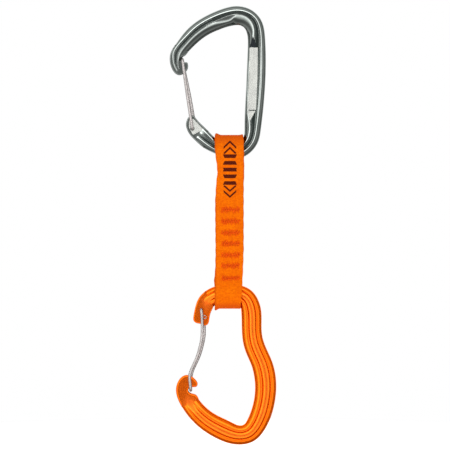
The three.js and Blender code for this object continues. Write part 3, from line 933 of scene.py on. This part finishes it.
def rear_leg(middle, hole, up):
    """Along the rear leg, which stands aside from the front one, and into the rear hole."""
    aside = [LEG_ASIDE * (1 - 0.4 * i / len(middle)) for i in range(len(middle))]
    leg = [(p + [shift, 0], LEG_Y) for p, shift in zip(middle, aside)]
    above = hole + [(middle[0][0] - hole[0]) * 0.1, up * REAR_CUT]
    return [*leg[::-1], (above, LEG_Y), (hole + [0, up * 0.9], LEG_Y),
            (hole + [0, up * 0.1], LEG_Y - WIRE_CORNER), (hole, TIP_Y)]


def gate_path(wire, rear_hole):
    """From the front tip up the front leg, round the nose bend and down the rear leg to its tip."""
    hole, knee, *middle, end = (np.array(p) for p in wire)
    up = math.copysign(1, end[1] - hole[1])
    path = front_leg(hole, knee, middle) + nose_bend(middle[-1], end)
    path += rear_leg(middle, np.array(rear_hole), up)
    return curve([(p[0], y, p[1]) for p, y in path], WIRE_STEP, 0.5)


def gate(which, wire, rear_hole):
    """A rigid part that swings, and the rear leg's foot as a piece of its own."""
    path = gate_path(wire, rear_hole)
    left = int(round(BENDING_LENGTH / WIRE_STEP))
    swinging = tube(f"{which}_gate", path[: -left + 1], WIRE_R, WIRE_SIDES, WIRE)
    foot = tube(f"{which}_gate_foot", path[-left:], WIRE_R, WIRE_SIDES, WIRE)
    for obj in (swinging, foot):
        obj.data.set_sharp_from_angle(angle=math.radians(50))
    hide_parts(f"{which}_gate_wire")
    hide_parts(f"{which}_gate_rear_tip")
    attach(swinging, f"{which}_gate")
    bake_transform(foot)


# -------------------- sling


def ring_arc(ring, first, last):
    """Points [y, z] of the strap's front half round a ring, between two angles from level."""
    z, radius = ring
    angles = np.radians(np.linspace(first, last, 14))
    return [[-radius * math.cos(angle), z + radius * math.sin(angle)] for angle in angles]


def strap_path():
    """The strap's centre line as [y, z], from the foot up the front, over and down the back."""
    rise = ring_arc(LOWER_RING, -90, FOOT_SPLAY)
    rise += [[-3.0, -176.4], [-LAYER_Y - 0.1, -174.6], [-LAYER_Y, LOWER_SEAM], [-LAYER_Y, -165]]
    rise += [[-LAYER_Y, z] for z in range(-158, -122, 7)]
    rise += [[-LAYER_Y, -124.0], [-2.5, -119.5], [-5.2, UPPER_SEAM], [-7.8, -98.8]]
    rise += ring_arc(UPPER_RING, -LOOP_LEAN, 90)
    half = smoothed(curve(rise, STRAP_STEP, 0.5), 2.0)
    back = half[::-1][1:] * [-1, 1]
    return np.concatenate([half, back])


STRAP = strap_path()
STRAP_LENGTH = distances(STRAP)


def strap_edges(z):
    """The strap's left and right edges at a height, slightly uneven."""
    table = np.array(STRAP_EDGES)[::-1]
    left = np.interp(z, table[:, 0], table[:, 1])
    right = np.interp(z, table[:, 0], table[:, 2])
    return left + 0.1 * math.sin(z * 0.9), right + 0.1 * math.sin(z * 0.77 + 1)


def strap_section(left, right):
    """Half of the section: places across, and half thickness with a fuller selvedge."""
    across = -np.cos(np.linspace(0, math.pi, STRAP_ACROSS)) * 0.35
    across = across + np.linspace(-1, 1, STRAP_ACROSS) * 0.65
    across /= abs(across).max()
    reach = (right - left) / 2
    inside = (1 - abs(across)) * reach
    edge = np.clip(inside / (WEB_THICK / 2), 0, 1)
    half = WEB_THICK / 2 * np.sqrt(1 - (1 - edge) ** 2)
    bead = np.exp(-(((inside - 1.0) / 0.7) ** 2))
    return (left + right) / 2 + across * reach, half * (0.93 + 0.09 * bead)


def tack_pinch(x, z):
    """How far a bartack draws the webbing in at this point."""
    inside = smooth((x - TACK_FROM + 1.0) / 1.5) * smooth((TACK_TO + 1.0 - x) / 1.5)
    return inside * max(math.exp(-(((z - tack) / 1.9) ** 2)) for tack in TACK_Z)


def corner_shift(x, z):
    """The strap's corners rise where it goes over the upper bar, and one droops under the lower."""
    corner = 1.1 * smooth((-10.8 - x) / 3.5) + 0.5 * smooth((x - 1.2) / 3.0)
    droop = 1.2 * smooth((-188 - z) / 5) * smooth((-12.0 - x) / 3)
    return smooth((z + 84) / 7) * corner - droop


def fold_shade(z):
    """How much painted shade the strap takes: fully so over the upper bar and under the lower one.
    """
    return max(smooth((z + 86) / 9), smooth((-190 - z) / 3.5))


def strap_ring(y, z, normal):
    """The strap's skin [x, y, z] at one station: across one face, then back across the other."""
    x, half = strap_section(*strap_edges(z))
    half = half * [1 - TACK_PINCH * tack_pinch(v, z) for v in x]
    ring = []
    for side, order in ((1, slice(None)), (-1, slice(-2, 0, -1))):
        for v, h in zip(x[order], half[order]):
            out = side * h * normal
            ring.append([v, y + out[0], z + out[1] + corner_shift(v, z)])
    return ring


def strap_piece(name, stations):
    """A stretch of webbing along stations [y, z, length]."""
    run = np.gradient(stations[:, :2], axis=0)
    run /= np.linalg.norm(run, axis=1)[:, None]
    sides = [1] * STRAP_ACROSS + [-1] * (STRAP_ACROSS - 2)
    rings, uv, motif, fold_shading = [], [], [], []
    for (y, z, length), (run_y, run_z) in zip(stations, run):
        normal = np.array([-run_z, run_y])
        ring = strap_ring(y, z, normal)
        rings.append(ring)
        fold_shading += [fold_shade(z)] * len(ring)
        for (x, _, _), side in zip(ring, sides):
            uv.append([x - WEAVE_CENTRE, length])
            printed = y < 0 and side * normal[0] < -0.5
            motif.append([x - PRINT_CENTRE[0], z - PRINT_CENTRE[1]] if printed else OFF_PRINT)
    obj = outward(loft(name, np.array(rings), [WEBBING]))
    set_uv(obj, uv)
    set_uv(obj, motif, "Print")
    set_float(obj, "fold_shading", fold_shading)
    obj.data.set_sharp_from_angle(angle=math.radians(60))
    return obj


def sling_stations():
    """The stations [y, z, length] of each piece of the sling."""
    stations = np.column_stack([STRAP, STRAP_LENGTH])
    front_seam, back_seam = np.flatnonzero(STRAP[:, 1] >= UPPER_SEAM - 1e-6)[[0, -1]]
    front_foot, back_foot = np.flatnonzero(STRAP[:, 1] >= LOWER_SEAM)[[0, -1]]
    past_end = stations[1 : front_foot + 1] + [0, 0, STRAP_LENGTH[-1]]
    tail_z = np.arange(TAIL_TOP, TAIL_BOTTOM, -STRAP_STEP)
    return {
        "sling_loop": stations[front_seam : back_seam + 1],
        "sling_front": stations[front_foot : front_seam + 1],
        "sling_back": stations[back_seam : back_foot + 1],
        "sling_foot": np.concatenate([stations[back_foot:], past_end]),
        "sling_lapped_end": np.column_stack([tail_z * 0, tail_z, tail_z]),
    }


def bending_loop(obj):
    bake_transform(obj)


def twisting(obj):
    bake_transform(obj)


def bending_foot(obj):
    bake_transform(obj)


def sling():
    """One strip of webbing in five pieces, joined edge to edge."""
    stations = sling_stations()
    made = {}
    for name, move, nodes in (
        ("sling_loop", bending_loop, ["sling_upper_loop"]),
        ("sling_front", twisting, ["sling_upper_front_layer", "sling_lower_front_layer"]),
        ("sling_back", twisting, ["sling_upper_back_layer", "sling_lower_back_layer"]),
        ("sling_foot", bending_foot, ["sling_lower_loop"]),
        ("sling_lapped_end", twisting, ["sling_upper_lapped_end", "sling_lower_lapped_end"]),
    ):
        made[name] = strap_piece(name, stations[name])
        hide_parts(*nodes)
        move(made[name])


# -------------------- bartacks


def strap_surface(z):
    """How far the outside of the sewn strap stands from the mid-plane at a height."""
    low, high = SEWN_HEIGHTS
    rise = STRAP[(STRAP[:, 0] < 0) & (STRAP[:, 1] > low) & (STRAP[:, 1] < high)]
    return np.interp(z, rise[:, 1], -rise[:, 0]) + WEB_THICK / 2


def tack_thread(z, side, random):
    """Dense zigzag stitches along one bartack, with their slight unevenness."""
    count = int((TACK_TO - TACK_FROM) / STITCH_PITCH * 2)
    points = []
    for i in range(count):
        x = TACK_FROM + i * STITCH_PITCH / 2 + random.uniform(-STITCH_SHIFT, STITCH_SHIFT)
        up = 1 if i % 2 else -1
        reach = TACK_HEIGHT / 2 + random.uniform(*STITCH_REACH)
        for share, out in ((0.75, 0.12), (1.0, -0.2), (0.75, 0.12)):
            at = z + up * reach * share
            points.append([x, side * (strap_surface(at) + out), at])
        loose = random.uniform(*STITCH_LIFT)
        points.append([x + STITCH_PITCH / 4, side * (strap_surface(z) + loose), z])
    return np.array(points)


def bartacks():
    """Seven groups of stitches, each with a front and a back; the last one is below the seam."""
    random = np.random.default_rng(7)
    for number, z in enumerate(TACK_Z, 1):
        for label, side in (("front", -1), ("back", 1)):
            path = curve(tack_thread(z, side, random), THREAD_STEP, 0.5)
            obj = tube(f"bartack_{number}_{label}", path, THREAD_R, THREAD_SIDES, THREAD)
            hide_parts(f"bartack_{number}")
            if z > LOWER_SEAM:
                twisting(obj)
            else:
                bending_foot(obj)


# -------------------- studio


def floor():
    """A white disc below the object, which reflections don't see."""
    points = [(x, y, FLOOR_Z) for x, y in circle(FLOOR_CENTRE, FLOOR_R, FLOOR_SIDES)]
    material, n = new_material("floor")
    place = n.add("ShaderNodeTexCoord", out=3)
    grain = n.noise(place, 60.0, 3.0)
    colour = n.mix(n.spread(grain, 0.3, 0.7), (0.9, 0.9, 0.9, 1), (0.93, 0.93, 0.93, 1))
    n.surface(Base_Color=colour, Roughness=0.9, Emission_Color=(1, 1, 1, 1),
              Emission_Strength=0.35)
    obj = new_object("floor", points, [tuple(range(FLOOR_SIDES))], [material])
    obj.visible_glossy = False


def world():
    """White where the camera sees it; reflections see a studio with two rings of softboxes."""
    studio = bpy.data.worlds.new("studio")
    bpy.context.scene.world = studio
    studio.use_nodes = True
    n = Nodes(studio.node_tree)
    direction = n.add("ShaderNodeTexCoord", out=0)
    x, y, z = n.parts(direction)
    toward = n.math("MULTIPLY", y, -1.0)
    ramp = n.add("ShaderNodeValToRGB", {0: n.spread(toward, -1.0, 1.0)})
    stops = ramp.node.color_ramp.elements
    for _ in REFLECTED[2:]:
        stops.new(0.5)
    brightest = max(value for _, value in REFLECTED)
    for stop, (degrees, value) in zip(stops, REFLECTED):
        stop.position = (math.cos(math.radians(degrees)) + 1) / 2
        stop.color = [value / brightest] * 3 + [1]
    above = n.spread(z, -1.0, 1.0, *GLOSS_UP)
    beside = n.spread(x, -0.6, 0.6, *GLOSS_ASIDE)
    around = n.math("MULTIPLY", above, beside)
    gloss = n.math("MULTIPLY", n.math("MULTIPLY", ramp, brightest), around)
    paths = n.add("ShaderNodeLightPath").node
    strength = n.add("ShaderNodeMix", {0: paths.outputs["Is Glossy Ray"], 2: SKY, 3: gloss})
    strength = n.add("ShaderNodeMix", {0: paths.outputs["Is Camera Ray"], 2: strength, 3: 1.0})
    background = n.add("ShaderNodeBackground", {"Color": (1, 1, 1, 1), "Strength": strength})
    n.add("ShaderNodeOutputWorld", {"Surface": background})


def softbox(name, place, size, power):
    """A soft light facing the object, which reflections don't see."""
    light = bpy.data.lights.new(name, "AREA")
    light.shape = "RECTANGLE"
    light.size, light.size_y = size
    light.energy = power
    obj = bpy.data.objects.new(name, light)
    bpy.context.collection.objects.link(obj)
    obj.location = place
    obj.visible_glossy = False
    obj.rotation_euler = (Vector(LIT_CENTRE) - obj.location).to_track_quat("-Z", "Y").to_euler()


def camera():
    data = bpy.data.cameras.new("camera")
    data.lens = CAMERA_LENS
    data.sensor_width = CAMERA_SENSOR
    data.clip_end = CAMERA_REACH
    obj = bpy.data.objects.new("camera", data)
    bpy.context.collection.objects.link(obj)
    obj.location = CAMERA_PLACE
    obj.rotation_euler = (math.pi / 2, 0, 0)
    bpy.context.scene.camera = obj


camera()
world()
floor()
softbox("key", (-0.9, -1.0, 0.75), (0.7, 0.7), 6.0)
softbox("fill", (1.1, -0.8, 0.2), (0.5, 1.0), 3.0)
bpy.context.scene.view_settings.view_transform = "Standard"

upper_carabiner()
lower_carabiner()
eyelet()
gate("upper", UPPER_WIRE, UPPER_REAR_HOLE)
gate("lower", LOWER_WIRE, LOWER_REAR_HOLE)
sling()
bartacks()
